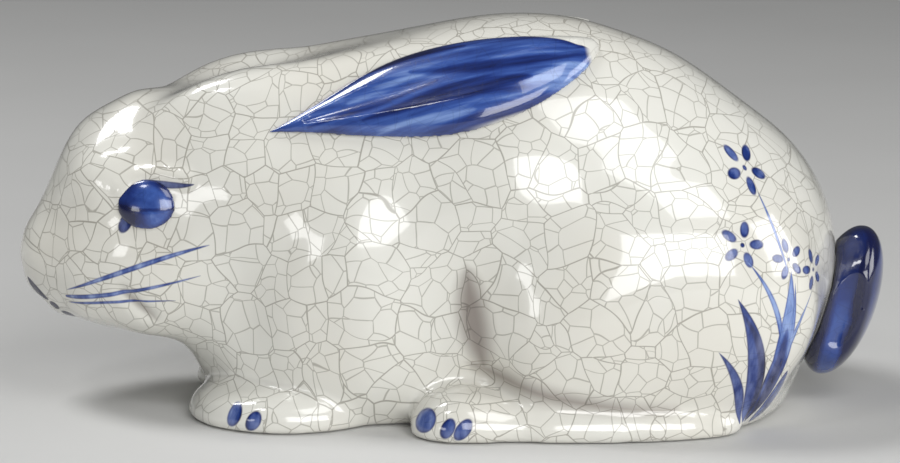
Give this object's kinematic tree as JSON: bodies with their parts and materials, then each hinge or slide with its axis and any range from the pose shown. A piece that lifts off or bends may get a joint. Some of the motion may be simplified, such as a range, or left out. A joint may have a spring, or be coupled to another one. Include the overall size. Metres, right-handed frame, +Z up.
{
  "type": "ceramic rabbit figurine",
  "caption": "Crouching rabbit figurine of hollow glazed pottery with laid-back ears, beaded eyes, paws and an upright tail; a free-standing ornament.",
  "frame": {"origin": "on the ground under the middle of the rabbit, halfway from nose to tail", "axes": "+X from nose to tail, +Y towards the rabbit's right side, +Z up"},
  "size_m": [0.2404, 0.099, 0.1087],
  "materials": {
    "glazed_clay": "glossy crackle glaze",
    "bare_clay": "unglazed biscuit",
    "cobalt_leaf": "brushed cobalt under gloss glaze",
    "cobalt_bead": "brushed cobalt under gloss glaze",
    "cobalt_scut": "dense cobalt under gloss glaze"
  },
  "bodies": {
    "root": {"body_casting": "glazed_clay", "base_slab": "bare_clay", "left_ear": "cobalt_leaf", "right_ear": "cobalt_leaf", "left_eye": "cobalt_bead", "right_eye": "cobalt_bead", "left_forepaw": "glazed_clay", "right_forepaw": "glazed_clay", "left_hind_foot": "glazed_clay", "right_hind_foot": "glazed_clay", "tail": "cobalt_scut"}
  },
  "joints": []
}
